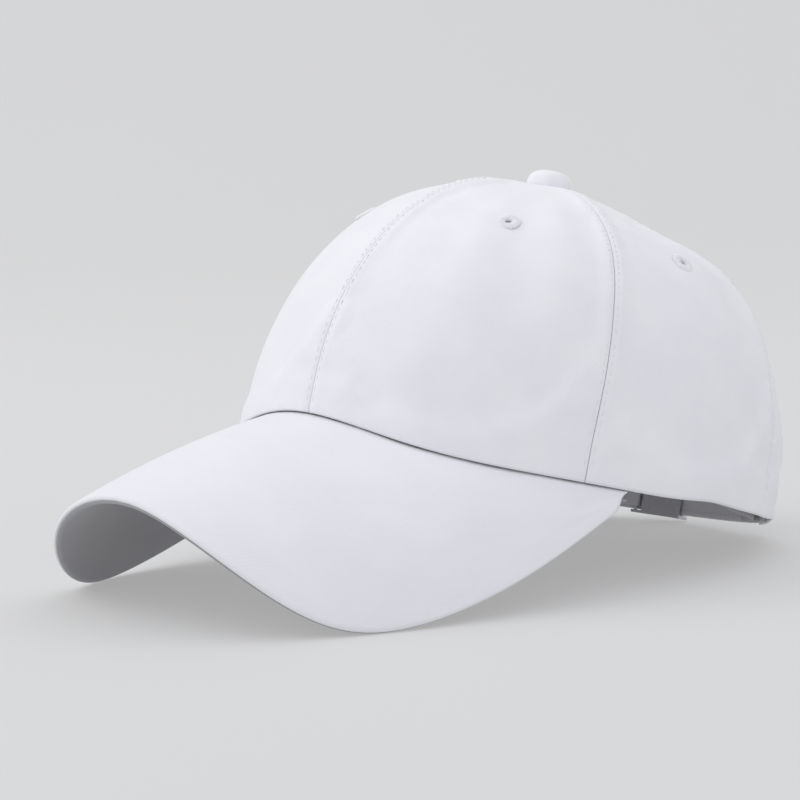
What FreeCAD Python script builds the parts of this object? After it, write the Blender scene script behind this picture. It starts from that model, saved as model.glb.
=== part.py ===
import FreeCAD, Part, Sketcher
import os
from math import asin, cos, degrees, pi, radians, sin, sqrt
from types import SimpleNamespace

# Six-panel baseball cap with a curved brim, a covered top button and a strap with a
# clasp buckle at the back. Millimetres. The cap stands on the low points of its brim
# and on the back of its hem: +Z is up, the brim points to -Y, the wearer's left is +X.
# Crown, button, strap and buckle are drawn in the hem's own plane and then tilted back
# together; the brim is drawn as it stands.

Vector = FreeCAD.Vector
Rotation = FreeCAD.Rotation
Placement = FreeCAD.Placement

SIZES = (
    ("hem_half_width", 84.8, "half the width of the hem's ellipse"),
    ("hem_half_length", 98.1, "half the length of the hem's ellipse"),
    ("crown_height", 99.6, "top of the crown above the hem's plane"),
    ("crown_setback", -4.8, "top of the crown, back from the hem's middle"),
    ("front_fullness", 2.27, "exponent of the front profile, 2 is an ellipse"),
    ("side_fullness", 2.58, "exponent of the side profile"),
    ("back_fullness", 1.82, "exponent of the back profile"),
    ("side_bulge", 0.046, "share by which the sides belly out"),
    ("back_bulge", 0.01, "share by which the back bellies out"),
    ("front_seam_turn", 66.4, "degrees from the front to the front and side seam"),
    ("back_seam_turn", 117.0, "degrees from the front to the side and back seam"),
    ("hem_arch_height", 8.2, "rise of the hem over the brim"),
    ("hem_arch_power", 5.6, "how pointed that rise is"),
    ("resting_tilt", 14.95, "degrees by which the crown leans back"),
    ("cloth", 0.9, "thickness of a crown panel"),
    ("seam_gap", 0.2, "space between two panels"),
    ("crown_hole_turn", 88.5, "degrees up the profile at which the panels end"),
    ("tape_half_width", 8.5, "seam tape and binding, half width"),
    ("tape_taper", 0.4, "half width of a tape over its distance from the top"),
    ("tape_end", 7.0, "end of the tapes, from the top's middle"),
    ("tape_cloth", 0.6, "thickness of a tape"),
    ("band_height", 30.0, "height of the sweatband"),
    ("band_lift", 0.6, "lower edge of the sweatband above the hem"),
    ("band_cloth", 1.6, "thickness of the sweatband"),
    ("band_depth", 1.9, "sweatband inside the crown's face, front and sides"),
    ("tunnel_depth", 7.9, "sweatband inside the crown's face, at the strap"),
    ("opening_half_width", 36.0, "arched opening at the back"),
    ("opening_height", 46.0, "top of the arch above the hem's plane"),
    ("brim_corner_turn", 75.4, "degrees from the front to the brim's corner"),
    ("brim_length", 74.5, "brim in front of the hem, measured level"),
    ("brim_edge_power", 2.95, "how square the brim's outline is"),
    ("brim_spread", 1.023, "width of the brim over the hem at its corners"),
    ("brim_fall", 0.259, "slope of the brim's middle line towards its tip"),
    ("root_depth", 1.2, "brim's root inside the crown's face"),
    ("root_gap", 0.2, "brim's root under the hem"),
    ("brim_root_radius", 95.1, "radius of the brim's arch at the hem"),
    ("brim_narrowing", 0.504, "by which that radius falls towards the tip"),
    ("brim_crown", 1.6, "fullness of the brim between hem and edge"),
    ("brim_lift", 0.9, "brim's arch above its own root, at the front"),
    ("brim_skin", 0.6, "thickness of a brim cover"),
    ("board_thickness", 1.6, "thickness of the brim's board"),
    ("board_inset", 1.4, "board inside the edge of its covers"),
    ("ply_gap", 0.2, "space between plies"),
    ("cover_reach", 0.95, "share of the way to its corner at which a brim cover ends"),
    ("board_reach", 0.93, "the same for the board"),
    ("eyelet_radius", 4.0, "embroidered ring"),
    ("eyelet_hole", 1.1, "radius of the air hole"),
    ("eyelet_height", 0.8, "thickness of the ring"),
    ("button_radius", 7.7, "covered button"),
    ("button_height", 6.8, "covered button above the crown"),
    ("button_cloth", 0.7, "cloth over the button"),
    ("button_metal", 0.5, "metal of the button and its washer"),
    ("post_radius", 1.3, "post of the button"),
    ("washer_radius", 5.5, "washer inside the crown"),
    ("arc_centre", 20.2, "middle of the strap's arc, back from the hem's middle"),
    ("strap_radius", 72.9, "outer face of the strap's arc"),
    ("strap_cloth", 1.4, "thickness of the strap"),
    ("strap_width", 18.0, "width of the strap"),
    ("strap_low", 0.4, "lower edge of the strap above the hem's plane"),
    ("strap_half_turn", 44.0, "degrees of strap to each side"),
    ("buckle_turn", 11.0, "degrees from the strap's middle to the buckle"),
    ("wall", 1.0, "walls of the buckle"),
    ("side_play", 0.4, "space beside the strap in the buckle"),
    ("plate_length", 15.5, "base plate of the buckle along the strap"),
    ("plate_thickness", 0.8, "base plate of the buckle"),
    ("plate_drop", 0.9, "base plate under the strap"),
    ("pin_radius", 1.0, "hinge pin of the clasp"),
    ("pin_play", 0.08, "space round the pin in the clasp"),
    ("pin_offset", 6.0, "pin from the buckle's middle"),
    ("pin_rise", 2.1, "pin above the strap's outer face"),
    ("barrel_radius", 1.75, "barrel of the clasp"),
    ("lever_reach", 8.6, "end of the clasp from the buckle's middle"),
    ("lever_thickness", 1.0, "plate of the clasp"),
    ("bar_radius", 0.6, "bar that the loop goes round"),
    ("bar_turn", 8.4, "degrees from the buckle's middle to the bar"),
    ("loop_cloth", 0.6, "thickness of the loop"),
    ("loop_play", 0.4, "space between the loop and the strap"),
    ("loop_width", 16.0, "width of the loop"),
    ("loop_turn", 27.0, "degrees of loop from the bar to its sewn end"),
    ("loop_return_turn", 5.0, "degrees of loop turned back under itself"),
)

doc = FreeCAD.newDocument("BaseballCap")
sheet = doc.addObject("Spreadsheet::Sheet", "Sizes")
for row, (name, value, meaning) in enumerate(SIZES, start=1):
    sheet.set(f"A{row}", name)
    sheet.set(f"B{row}", str(value))
    sheet.set(f"C{row}", meaning)
    sheet.setAlias(f"B{row}", name)
doc.recompute()
size = SimpleNamespace(**{name: float(sheet.get(name)) for name, value, meaning in SIZES})

STEP = 1e-3          # turn and share over which slopes are measured
PANEL_GRID = (15, 13)
NARROW_GRID = (15, 5)
PATCH_GRID = (5, 5)
BRIM_GRID = (9, 29)
CORNER_CLOSENESS = 1.385
MESH_FINENESS = 0.05
TUNNEL_START = 92    # degrees from the front at which the sweatband begins to leave the crown
TUNNEL_EASE = 30

PARTS = {}           # name: (finished object, where it stands in the hem's frame, tilted)


# ---------------------------------------------------------------- curved surfaces

def round_crown(phi, front, side, back):
    """A value that changes round the crown, phi measured from the front."""
    end = front if cos(phi) > 0 else back
    return side + (end - side) * cos(phi) ** 2


def hem_rise(phi):
    """Height of the hem above its plane: it arches over the brim."""
    share = min(abs(phi) / radians(size.brim_corner_turn), 1)
    return size.hem_arch_height * cos(pi / 2 * share) ** size.hem_arch_power


def profile_power(phi):
    """Exponent of the profile at one turn round the crown."""
    return 2 / round_crown(phi, size.front_fullness, size.side_fullness, size.back_fullness)


def crown(phi, theta):
    """Point of the crown's outer face: theta runs from the hem, 0, to the top, 90 degrees."""
    power = profile_power(phi)
    bulge = round_crown(phi, 0, size.side_bulge, size.back_bulge)
    reach = max(cos(theta), 0) ** power * (1 + bulge * sin(2 * theta) ** 2)
    low = hem_rise(phi)
    return Vector(
        size.hem_half_width * sin(phi) * reach,
        size.crown_setback - (size.hem_half_length * cos(phi) + size.crown_setback) * reach,
        low + (size.crown_height - low) * max(sin(theta), 0) ** power,
    )


def crown_normal(phi, theta):
    """Outward direction of the crown's face."""
    around = crown(phi + STEP, theta) - crown(phi - STEP, theta)
    upward = crown(phi, theta + STEP) - crown(phi, max(theta - STEP, 0))
    return around.cross(upward).normalize()


def inside_crown(phi, theta, depth):
    """Point at a depth inside the crown's outer face."""
    return crown(phi, theta) - crown_normal(phi, theta) * depth


def theta_at(phi, rise):
    """Turn up the profile at which the cloth is this far above the hem."""
    share = rise / (size.crown_height - hem_rise(phi))
    return asin(share ** (1 / profile_power(phi)))


def swing(phi, theta, width):
    """Turn round the crown that spans a width of cloth at that height."""
    span = crown(phi + STEP, theta) - crown(phi - STEP, theta)
    return width * 2 * STEP / span.Length


def skin(point, rows, columns):
    """Smooth face through a grid of points, point(u, v) with u across and v upward."""
    grid = [
        [point(j / (columns - 1), i / (rows - 1)) for j in range(columns)] for i in range(rows)
    ]
    surface = Part.BSplineSurface()
    surface.interpolate(grid)
    return surface.toShape()


def ply(outer, inner, grid):
    """Closed solid between two skins that follow one another."""
    top, bottom = skin(outer, *grid), skin(inner, *grid)
    sides = [Part.makeRuledSurface(a, b) for a, b in zip(top.Edges, bottom.Edges)]
    shell = Part.makeShell([top, bottom] + sides)
    shell.sewShape()
    solid = Part.makeSolid(shell)
    if solid.Volume < 0:
        solid.reverse()
    return solid


def crown_ply(where, outer, inner, grid):
    """Ply of the crown between two depths; where(u, v) gives its turn and height."""
    return ply(
        lambda u, v: inside_crown(*where(u, v), outer),
        lambda u, v: inside_crown(*where(u, v), inner),
        grid,
    )


def add_shape(name, shape, tilted=True):
    """Soft piece whose shape is worked out from the sizes above."""
    piece = doc.addObject("Part::Feature", name)
    piece.Shape = shape
    add_part(name, piece, Placement(), tilted)
    return piece


def add_part(name, piece, place, tilted=True):
    """Name a finished piece and note where it stands."""
    piece.Label = name
    PARTS[name] = (piece, place, tilted)


# ---------------------------------------------------------------- crown panels

def panel_where(start, end):
    """Area between two seams, given by their turns in degrees."""
    def where(u, v):
        theta = v * radians(size.crown_hole_turn)
        left = radians(start) + swing(radians(start), theta, size.seam_gap / 2)
        right = radians(end) - swing(radians(end), theta, size.seam_gap / 2)
        return left + (right - left) * u, theta
    return where


def opening_tool():
    """Arched block that cuts the opening out of the two back panels."""
    arch = Part.Ellipse(
        Vector(0, 0, size.opening_height), Vector(size.opening_half_width, 0, 0), Vector(0, 0, 0)
    )
    face = Part.Face(Part.Wire(arch.toShape()))
    return face.extrude(Vector(0, 1.5 * size.hem_half_length, 0))


EYELETS = {          # turn from the front and height up the profile, degrees
    "front": (38.0, 51.6),
    "side": (90.2, 47.6),
    "back": (148.0, 52.0),
}


def eyelet_rod(turn, height, radius):
    """Round rod that stands square on the crown where an eyelet is."""
    phi, theta = radians(turn), radians(height)
    axis = crown_normal(phi, theta)
    reach = 6 * size.cloth
    return Part.makeCylinder(radius, 2 * reach, crown(phi, theta) - axis * reach, axis)


def make_panels():
    areas = {
        "front": (0, size.front_seam_turn),
        "side": (size.front_seam_turn, size.back_seam_turn),
        "back": (size.back_seam_turn, 180),
    }
    opening = opening_tool()
    for place, (start, end) in areas.items():
        turn, height = EYELETS[place]
        for side, sign in (("left", 1), ("right", -1)):
            first, last = sorted((sign * start, sign * end))
            panel = crown_ply(panel_where(first, last), 0, size.cloth, PANEL_GRID)
            panel = panel.cut(eyelet_rod(sign * turn, height, size.eyelet_hole))
            if place == "back":
                panel = panel.cut(opening)
            add_shape(f"{place}_panel_{side}", panel.Solids[0])


def make_eyelets():
    for place, (turn, height) in EYELETS.items():
        for side, sign in (("left", 1), ("right", -1)):
            phi, theta = radians(sign * turn), radians(height)
            reach = swing(phi, theta, 1.3 * size.eyelet_radius)
            climb = 1.3 * size.eyelet_radius / size.crown_height

            def where(u, v):
                return phi + (2 * u - 1) * reach, theta + (2 * v - 1) * climb * 1.2

            clear = size.seam_gap / 4
            patch = crown_ply(where, -size.eyelet_height - clear, -clear, PATCH_GRID)
            ring = patch.common(eyelet_rod(sign * turn, height, size.eyelet_radius))
            ring = ring.cut(eyelet_rod(sign * turn, height, size.eyelet_hole))
            add_shape(f"eyelet_{place}_{side}", ring.Solids[0])


# ---------------------------------------------------------------- tapes and sweatband

def tape_where(turn, low):
    """Strip along a seam, which narrows where the seams meet."""
    def where(u, v):
        phi = radians(turn)
        theta = low + (top - low) * v
        point = crown(phi, theta)
        distance = sqrt(point.x ** 2 + (point.y - size.crown_setback) ** 2)
        half = min(size.tape_half_width, size.tape_taper * distance)
        return phi + (2 * u - 1) * swing(phi, theta, half), theta

    top = radians(size.crown_hole_turn)
    while crown(radians(turn), top).distanceToPoint(crown(0, pi / 2)) < size.tape_end:
        top -= STEP
    return where


def tape_depths():
    outer = size.cloth + size.seam_gap
    return outer, outer + size.tape_cloth


def make_tapes():
    over_arch = size.opening_height + 2 * size.tape_half_width + 1
    seams = {
        "seam_tape_front": (0, size.band_lift),
        "seam_tape_front_side_left": (size.front_seam_turn, size.band_lift),
        "seam_tape_front_side_right": (-size.front_seam_turn, size.band_lift),
        "seam_tape_side_back_left": (size.back_seam_turn, size.band_lift),
        "seam_tape_side_back_right": (-size.back_seam_turn, size.band_lift),
        "seam_tape_back": (180, over_arch),
    }
    for name, (turn, rise) in seams.items():
        where = tape_where(turn, theta_at(radians(turn), rise))
        add_shape(name, crown_ply(where, *tape_depths(), NARROW_GRID))


def back_turn(across, rise):
    """Turn and height at which the back of the crown is this far across and up."""
    low, high = pi / 2, pi
    for _ in range(40):
        middle = (low + high) / 2
        if crown(middle, theta_at(middle, rise)).x > abs(across):
            low = middle
        else:
            high = middle
    return (low if across >= 0 else 2 * pi - low), theta_at(low, rise)


def make_binding():
    """Strip inside the edge of the arched opening."""
    start = 0.012

    def where(u, v):
        turn = start + (pi - 2 * start) * v
        margin = 0.3 + u * size.tape_half_width
        across = (size.opening_half_width + margin) * cos(turn)
        return back_turn(across, (size.opening_height + margin) * sin(turn))

    add_shape("opening_binding", crown_ply(where, *tape_depths(), (33, 4)))


def ease(share):
    share = min(max(share, 0), 1)
    return share * share * (3 - 2 * share)


def band_depth(phi):
    """Sweatband's distance inside the crown: it leaves a tunnel for the strap's ends."""
    share = ease((degrees(abs(phi)) - TUNNEL_START) / TUNNEL_EASE)
    return size.band_depth + (size.tunnel_depth - size.band_depth) * share


def make_sweatband():
    end = pi - asin((size.opening_half_width + 3) / size.hem_half_width)

    def face(extra):
        def point(u, v):
            phi = end * (2 * u - 1)
            theta = theta_at(phi, size.band_lift + size.band_height * v)
            return inside_crown(phi, theta, band_depth(phi) + extra)
        return point

    add_shape("sweatband", ply(face(0), face(size.band_cloth), (5, 49)))


# ---------------------------------------------------------------- brim

CROWN_TILT = Rotation(Vector(1, 0, 0), -size.resting_tilt)
CROWN_STAND = Placement(Vector(0, 0, 0), CROWN_TILT)


def brim_root(turn):
    """Line under the hem where the brim starts, as the cap stands."""
    point = inside_crown(turn, theta_at(turn, size.root_gap), size.root_depth)
    point.z = hem_rise(turn) - size.root_gap
    return CROWN_STAND.multVec(point)


ROOT = brim_root(0)
CORNER = CROWN_STAND.multVec(crown(radians(size.brim_corner_turn), 0))
CORNER_WIDTH = CORNER.x * size.brim_spread
TIP = ROOT.y - size.brim_length


def arch_height(x, y):
    """Height of the brim's arched face, narrower and lower towards its tip."""
    radius = size.brim_root_radius + size.brim_narrowing * (y - ROOT.y)
    sag = radius - sqrt(max(radius ** 2 - x ** 2, 1))
    return ROOT.z + size.brim_lift + size.brim_fall * (y - ROOT.y) - sag


CORNER_DROP = arch_height(CORNER.x, CORNER.y) - CORNER.z


def brim_edge(share):
    """Outer edge of the brim; share is -1 at the right corner and 1 at the left one."""
    turn = share * pi / 2
    power = 2 / size.brim_edge_power
    sign = 1 if share > 0 else -1
    x = CORNER_WIDTH * sign * abs(sin(turn)) ** power
    y = CORNER.y - (CORNER.y - TIP) * cos(turn) ** power
    return Vector(x, y, arch_height(x, y) - CORNER_DROP * abs(sin(turn)) ** 8)


def brim(across, along, inset=0.0):
    """Upper face of the brim: across -1 to 1, along 0 at the edge to 1 at the hem."""
    sign = 1 if across > 0 else -1
    share = sign * (1 - (1 - abs(across)) ** CORNER_CLOSENESS)
    edge = brim_edge(share)
    root = brim_root(share * radians(size.brim_corner_turn))
    run = root - edge
    along += (1 - along) * min(inset / run.Length, 0.3)
    point = edge + run * along
    point.z = arch_height(point.x, point.y)
    point.z += along * (root.z - arch_height(root.x, root.y))
    point.z += (1 - along) * (edge.z - arch_height(edge.x, edge.y))
    point.z += size.brim_crown * 4 * along * (1 - along)
    return point


def brim_face(depth, inset, reach):
    """Face at a depth under the brim's upper face."""
    def point(u, v):
        across = reach * (2 * u - 1)
        left, right = brim(across - STEP, v, inset), brim(across + STEP, v, inset)
        low, high = brim(across, max(v - STEP, 0), inset), brim(across, min(v + STEP, 1), inset)
        normal = (right - left).cross(high - low).normalize()
        return brim(across, v, inset) - normal * depth
    return point


def make_brim():
    board = size.brim_skin + size.ply_gap
    under = board + size.board_thickness + size.ply_gap
    layers = (
        ("brim_top_cover", 0, size.brim_skin, 0, size.cover_reach),
        ("brim_board", board, board + size.board_thickness, size.board_inset, size.board_reach),
        ("brim_under_cover", under, under + size.brim_skin, 0, size.cover_reach),
    )
    for name, top, bottom, inset, reach in layers:
        upper, lower = brim_face(top, inset, reach), brim_face(bottom, inset, reach)
        add_shape(name, ply(upper, lower, BRIM_GRID), tilted=False)


# ---------------------------------------------------------------- hard pieces, from primitives

def primitive(kind, name, place=Placement(), **sizes):
    """Part primitive whose sizes follow the sheet."""
    piece = doc.addObject(f"Part::{kind}", name)
    for key, formula in sizes.items():
        piece.setExpression(key, formula)
    piece.Placement = place
    return piece


def cut(name, base, tool):
    piece = doc.addObject("Part::Cut", name)
    piece.Base = base
    piece.Tool = tool
    return piece


def common(name, base, tool):
    piece = doc.addObject("Part::Common", name)
    piece.Base = base
    piece.Tool = tool
    return piece


def at_top(rise=0.0):
    """Place on the crown's top, in the hem's frame."""
    return Placement(Vector(0, size.crown_setback, size.crown_height + rise), Rotation())


def dome(name, radius, rise, metal):
    """Hollow cap of a sphere that stands on z = 0; sizes are formulas."""
    ball = f"(({radius})^2 + ({rise})^2) / (2 * ({rise}))"
    outer = primitive("Sphere", f"{name}_outer", Radius=ball)
    outer.setExpression("Placement.Base.z", f"({rise}) - {ball}")
    inner = primitive("Sphere", f"{name}_inner", Radius=f"{ball} - {metal}")
    inner.setExpression("Placement.Base.z", f"({rise}) - {ball}")
    block = primitive("Cylinder", f"{name}_block", Radius=radius, Height=f"2 * ({rise})")
    return cut(name, common(f"{name}_cap", outer, block), inner)


def make_button():
    cover = dome("button_cover", "Sizes.button_radius", "Sizes.button_height",
                 "Sizes.button_cloth")
    add_part("button_cover", cover, at_top(0.1))
    shell = dome("button_shell", "Sizes.button_radius - Sizes.button_cloth - 0.3",
                 "Sizes.button_height - Sizes.button_cloth - 0.1", "Sizes.button_metal")
    add_part("button_shell", shell, at_top(0.1))
    length = "Sizes.button_height + 2 * Sizes.cloth"
    post = primitive("Cylinder", "button_post", Radius="Sizes.post_radius", Height=length)
    below = -size.cloth - size.tape_cloth - size.button_metal - 1.5
    add_part("button_post", post, at_top(below))
    disc = primitive("Cylinder", "washer_disc", Radius="Sizes.washer_radius",
                     Height="Sizes.button_metal")
    hole = primitive("Cylinder", "washer_hole", Radius="Sizes.post_radius",
                     Height="Sizes.button_metal")
    washer = cut("button_washer", disc, hole)
    add_part("button_washer", washer, at_top(-size.cloth - size.tape_cloth - size.button_metal - 0.4))


# Everything at the back turns about one upright axis: the middle of the strap's arc.

def on_arc(turn, height=0.0):
    """Frame at the middle of the strap's arc; its Y axis points out at that turn."""
    return Placement(Vector(0, size.arc_centre, height), Rotation(Vector(0, 0, 1), -turn))


def sector(name, radius, cloth, width, turn):
    """Piece of a thin ring, from the X axis round by a turn; sizes are formulas."""
    outer = primitive("Cylinder", f"{name}_outer", Radius=radius, Height=width, Angle=turn)
    inner = primitive("Cylinder", f"{name}_inner", Radius=f"{radius} - {cloth}", Height=width,
                      Angle=turn)
    return cut(name, outer, inner)


def make_strap():
    strap = sector("strap", "Sizes.strap_radius", "Sizes.strap_cloth", "Sizes.strap_width",
                   "2 * Sizes.strap_half_turn")
    add_part("strap", strap, on_arc(size.strap_half_turn - 90, size.strap_low))


def make_loop():
    """Cloth loop: sewn in beside the opening, round the buckle's bar and back under itself."""
    radius = "Sizes.strap_radius - Sizes.strap_cloth - Sizes.loop_play"
    bar = "(Sizes.bar_radius + 0.1)"
    run = sector("loop_run", radius, "Sizes.loop_cloth", "Sizes.loop_width", "Sizes.loop_turn")
    back = sector("loop_back", f"{radius} - Sizes.loop_cloth - 2 * {bar}", "Sizes.loop_cloth",
                  "Sizes.loop_width", "Sizes.loop_return_turn")
    bend = primitive("Cylinder", "loop_bend_outer", Radius=f"{bar} + Sizes.loop_cloth",
                     Height="Sizes.loop_width", Angle="180")
    hollow = primitive("Cylinder", "loop_bend_inner", Radius=bar, Height="Sizes.loop_width")
    half = cut("loop_bend", bend, hollow)
    half.Placement = Placement(Vector(bar_reach(), 0, 0), Rotation(Vector(0, 0, 1), 180))
    loop = doc.addObject("Part::MultiFuse", "buckle_loop")
    loop.Shapes = [run, back, half]
    low = size.strap_low + (size.strap_width - size.loop_width) / 2
    add_part("buckle_loop", loop, on_arc(-size.buckle_turn - size.bar_turn - 90, low))


def bar_reach():
    """Distance of the loop's bar from the strap's axis."""
    inner = size.strap_radius - size.strap_cloth - size.loop_play
    return inner - size.loop_cloth - 0.1 - size.bar_radius


# ---------------------------------------------------------------- buckle, as bodies with sketches

def origin_plane(body, role):
    return next(f for f in body.Origin.OriginFeatures if f.Role == role)


def sketch_on(body, name, role="XY_Plane", offset=0.0):
    """Sketch on one of the body's own planes."""
    sketch = body.newObject("Sketcher::SketchObject", name)
    sketch.AttachmentSupport = (origin_plane(body, role), "")
    sketch.MapMode = "FlatFace"
    sketch.AttachmentOffset = Placement(Vector(0, 0, offset), Rotation())
    return sketch


def hold_point(sketch, geometry, end, axis, formula):
    """Tie one coordinate of a point to the sheet, measured from the sketch's origin."""
    value = formula_value(formula)
    if value >= 0:
        index = sketch.addConstraint(Sketcher.Constraint(f"Distance{axis}", -1, 1, geometry, end,
                                                         value))
        sketch.setExpression(f"Constraints[{index}]", formula)
    else:
        index = sketch.addConstraint(Sketcher.Constraint(f"Distance{axis}", geometry, end, -1, 1,
                                                         -value))
        sketch.setExpression(f"Constraints[{index}]", f"-({formula})")


def formula_value(formula):
    """Number that a formula of the sheet gives now."""
    return float(doc.Sizes.evalExpression(formula))


def add_polygon(sketch, corners):
    """Closed outline through corners whose coordinates are formulas."""
    points = [Vector(formula_value(x), formula_value(y), 0) for x, y in corners]
    count = len(points)
    first = sketch.GeometryCount
    for i in range(count):
        sketch.addGeometry(Part.LineSegment(points[i], points[(i + 1) % count]))
    for i, (x, y) in enumerate(corners):
        after = first + (i - 1) % count
        sketch.addConstraint(Sketcher.Constraint("Coincident", after, 2, first + i, 1))
        hold_point(sketch, first + i, 1, "X", x)
        hold_point(sketch, first + i, 1, "Y", y)


def add_circle(sketch, x, y, radius):
    """Circle whose middle and radius are formulas."""
    centre = Vector(formula_value(x), formula_value(y), 0)
    index = sketch.addGeometry(Part.Circle(centre, Vector(0, 0, 1), formula_value(radius)))
    hold_point(sketch, index, 3, "X", x)
    hold_point(sketch, index, 3, "Y", y)
    tie = sketch.addConstraint(Sketcher.Constraint("Radius", index, formula_value(radius)))
    sketch.setExpression(f"Constraints[{tie}]", radius)


def pad(body, sketch, length):
    feature = body.newObject("PartDesign::Pad", f"{sketch.Name}_pad")
    feature.Profile = sketch
    feature.setExpression("Length", length)
    body.Tip = feature
    return feature


def pocket(body, sketch, length, reverse=True):
    """Pocket that cuts towards the sketch's own Z, where the metal is."""
    feature = body.newObject("PartDesign::Pocket", f"{sketch.Name}_pocket")
    feature.Profile = sketch
    feature.Reversed = reverse
    feature.setExpression("Length", length)
    body.Tip = feature
    return feature


BUCKLE_HEIGHT = "(Sizes.strap_width + 2 * Sizes.side_play + 2 * Sizes.wall)"
PLATE_TOP = "(Sizes.strap_radius - Sizes.strap_cloth - Sizes.plate_drop)"
PIN_X = "Sizes.pin_offset"
PIN_Y = "(Sizes.strap_radius + Sizes.pin_rise)"


def make_buckle_frame():
    """Base plate with two side walls, a bar for the loop and holes for the hinge pin."""
    body = doc.addObject("PartDesign::Body", "buckle_frame")
    bar_x = f"(-{bar_reach()} * sin(Sizes.bar_turn))"
    bar_y = f"({bar_reach()} * cos(Sizes.bar_turn))"
    low = f"({PLATE_TOP} - Sizes.plate_thickness)"
    lobe = "(Sizes.pin_radius + Sizes.wall)"
    right = f"({PIN_X} + {lobe})"

    outline = sketch_on(body, "frame_side")
    add_polygon(outline, (
        (f"{bar_x} - 1.3", f"{bar_y} - 1.0"),
        (right, low),
        (right, PIN_Y),
        (f"{PIN_X} - {lobe}", PIN_Y),
        (f"{PIN_X} - 1.6 * {lobe}", f"{PIN_Y} - 1.5 * {lobe}"),
        (f"{bar_x} - 1.3", f"{bar_y} + 1.4"),
    ))
    pad(body, outline, BUCKLE_HEIGHT)
    ears = sketch_on(body, "frame_lobe")
    add_circle(ears, PIN_X, PIN_Y, lobe)
    pad(body, ears, BUCKLE_HEIGHT)
    doc.recompute()
    before = body.Shape.Volume

    channel = sketch_on(body, "frame_channel", offset=size.wall)
    add_polygon(channel, (
        (f"{bar_x} - 2.6", f"{bar_y} - 4"),
        (f"{PIN_X} - Sizes.plate_length + {lobe}", f"{bar_y} - 4"),
        (f"{PIN_X} - Sizes.plate_length + {lobe}", PLATE_TOP),
        (f"{right} + 2", PLATE_TOP),
        (f"{right} + 2", f"{PIN_Y} + 2 * {lobe}"),
        (f"{bar_x} - 2.6", f"{PIN_Y} + 2 * {lobe}"),
    ))
    pocket(body, channel, "Sizes.strap_width + 2 * Sizes.side_play")
    holes = sketch_on(body, "frame_pin_holes")
    add_circle(holes, PIN_X, PIN_Y, "Sizes.pin_radius")
    pocket(body, holes, BUCKLE_HEIGHT)
    doc.recompute()
    if body.Shape.Volume > 0.6 * before:
        raise RuntimeError("the buckle's channel cut nothing")
    bar = sketch_on(body, "frame_bar")
    add_circle(bar, bar_x, bar_y, "Sizes.bar_radius")
    pad(body, bar, BUCKLE_HEIGHT)
    low_end = size.strap_low - size.side_play - size.wall
    add_part("buckle_frame", body, on_arc(-size.buckle_turn, low_end))


def make_buckle_pin():
    pin = primitive("Cylinder", "buckle_pin", Radius="Sizes.pin_radius", Height=BUCKLE_HEIGHT)
    low_end = size.strap_low - size.side_play - size.wall
    place = on_arc(-size.buckle_turn, low_end) * Placement(pin_point(), Rotation())
    add_part("buckle_pin", pin, place)


def pin_point():
    return Vector(size.pin_offset, size.strap_radius + size.pin_rise, 0)


def make_buckle_lever():
    """Clasp: a plate on a barrel, with a lifted lip for a finger at its free end."""
    body = doc.addObject("PartDesign::Body", "buckle_lever")
    end = "-Sizes.lever_reach"
    face = "(Sizes.strap_radius + 0.45)"
    plate = sketch_on(body, "lever_plate")
    add_polygon(plate, (
        (PIN_X, f"{PIN_Y} + Sizes.barrel_radius"),
        (f"{end} + 2", f"{face} + Sizes.lever_thickness"),
        (end, f"{face} + 1.9 * Sizes.lever_thickness"),
        (end, f"{face} + 0.9 * Sizes.lever_thickness"),
        (f"{end} + 2", face),
        (PIN_X, f"{PIN_Y} + Sizes.barrel_radius - 1.6 * Sizes.lever_thickness"),
    ))
    pad(body, plate, "Sizes.strap_width")
    barrel = sketch_on(body, "lever_barrel")
    add_circle(barrel, PIN_X, PIN_Y, "Sizes.barrel_radius")
    pad(body, barrel, "Sizes.strap_width")
    doc.recompute()
    before = body.Shape.Volume
    bore = sketch_on(body, "lever_bore")
    add_circle(bore, PIN_X, PIN_Y, "Sizes.pin_radius + Sizes.pin_play")
    pocket(body, bore, "Sizes.strap_width")
    doc.recompute()
    if body.Shape.Volume > before - 1:
        raise RuntimeError("the clasp's bore cut nothing")
    add_part("buckle_lever", body, on_arc(-size.buckle_turn, size.strap_low))


# ---------------------------------------------------------------- assembly

def stand(shift):
    """Put every piece in its place: tilt the crown, then move the whole cap."""
    for piece, place, tilted in PARTS.values():
        tilt = CROWN_STAND if tilted else Placement()
        piece.Placement = Placement(shift, Rotation()) * tilt * place
    doc.recompute()


def box_of(pieces):
    """Box round the pieces, from a fine mesh of each."""
    box = FreeCAD.BoundBox()
    for piece in pieces:
        for point in piece.Shape.tessellate(MESH_FINENESS)[0]:
            box.add(point)
    return box


def whole_box():
    return box_of([piece for piece, _, _ in PARTS.values()])


def check():
    for item in doc.Objects:
        if {"Invalid", "Error"} & set(item.State):
            raise RuntimeError(f"{item.Name} failed: {item.State}")
    for name, (piece, _, _) in PARTS.items():
        if piece.Shape.isNull() or not piece.Shape.isValid() or not piece.Shape.Solids:
            raise RuntimeError(f"{name} has no valid solid")


def report():
    box = whole_box()
    print("size", round(box.XLength, 2), round(box.YLength, 2), round(box.ZLength, 2))
    for name in ("brim_under_cover", "brim_top_cover", "strap", "buckle_frame", "back_panel_left",
                 "sweatband", "buckle_lever"):
        low = box_of([PARTS[name][0]])
        print(name, "lowest", round(low.ZMin, 2), "Y", round(low.YMin, 1), round(low.YMax, 1))
    axis = CROWN_TILT.multVec(Vector(0, 0, 1))
    pin = PARTS["buckle_lever"][0].Placement.multVec(pin_point())
    centre = PARTS["strap"][0].Placement.multVec(Vector(0, 0, size.strap_width / 2))
    print("strap axis", [round(v, 5) for v in axis], "at", [round(v, 3) for v in centre])
    print("clasp axis at", [round(v, 3) for v in pin])


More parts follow.
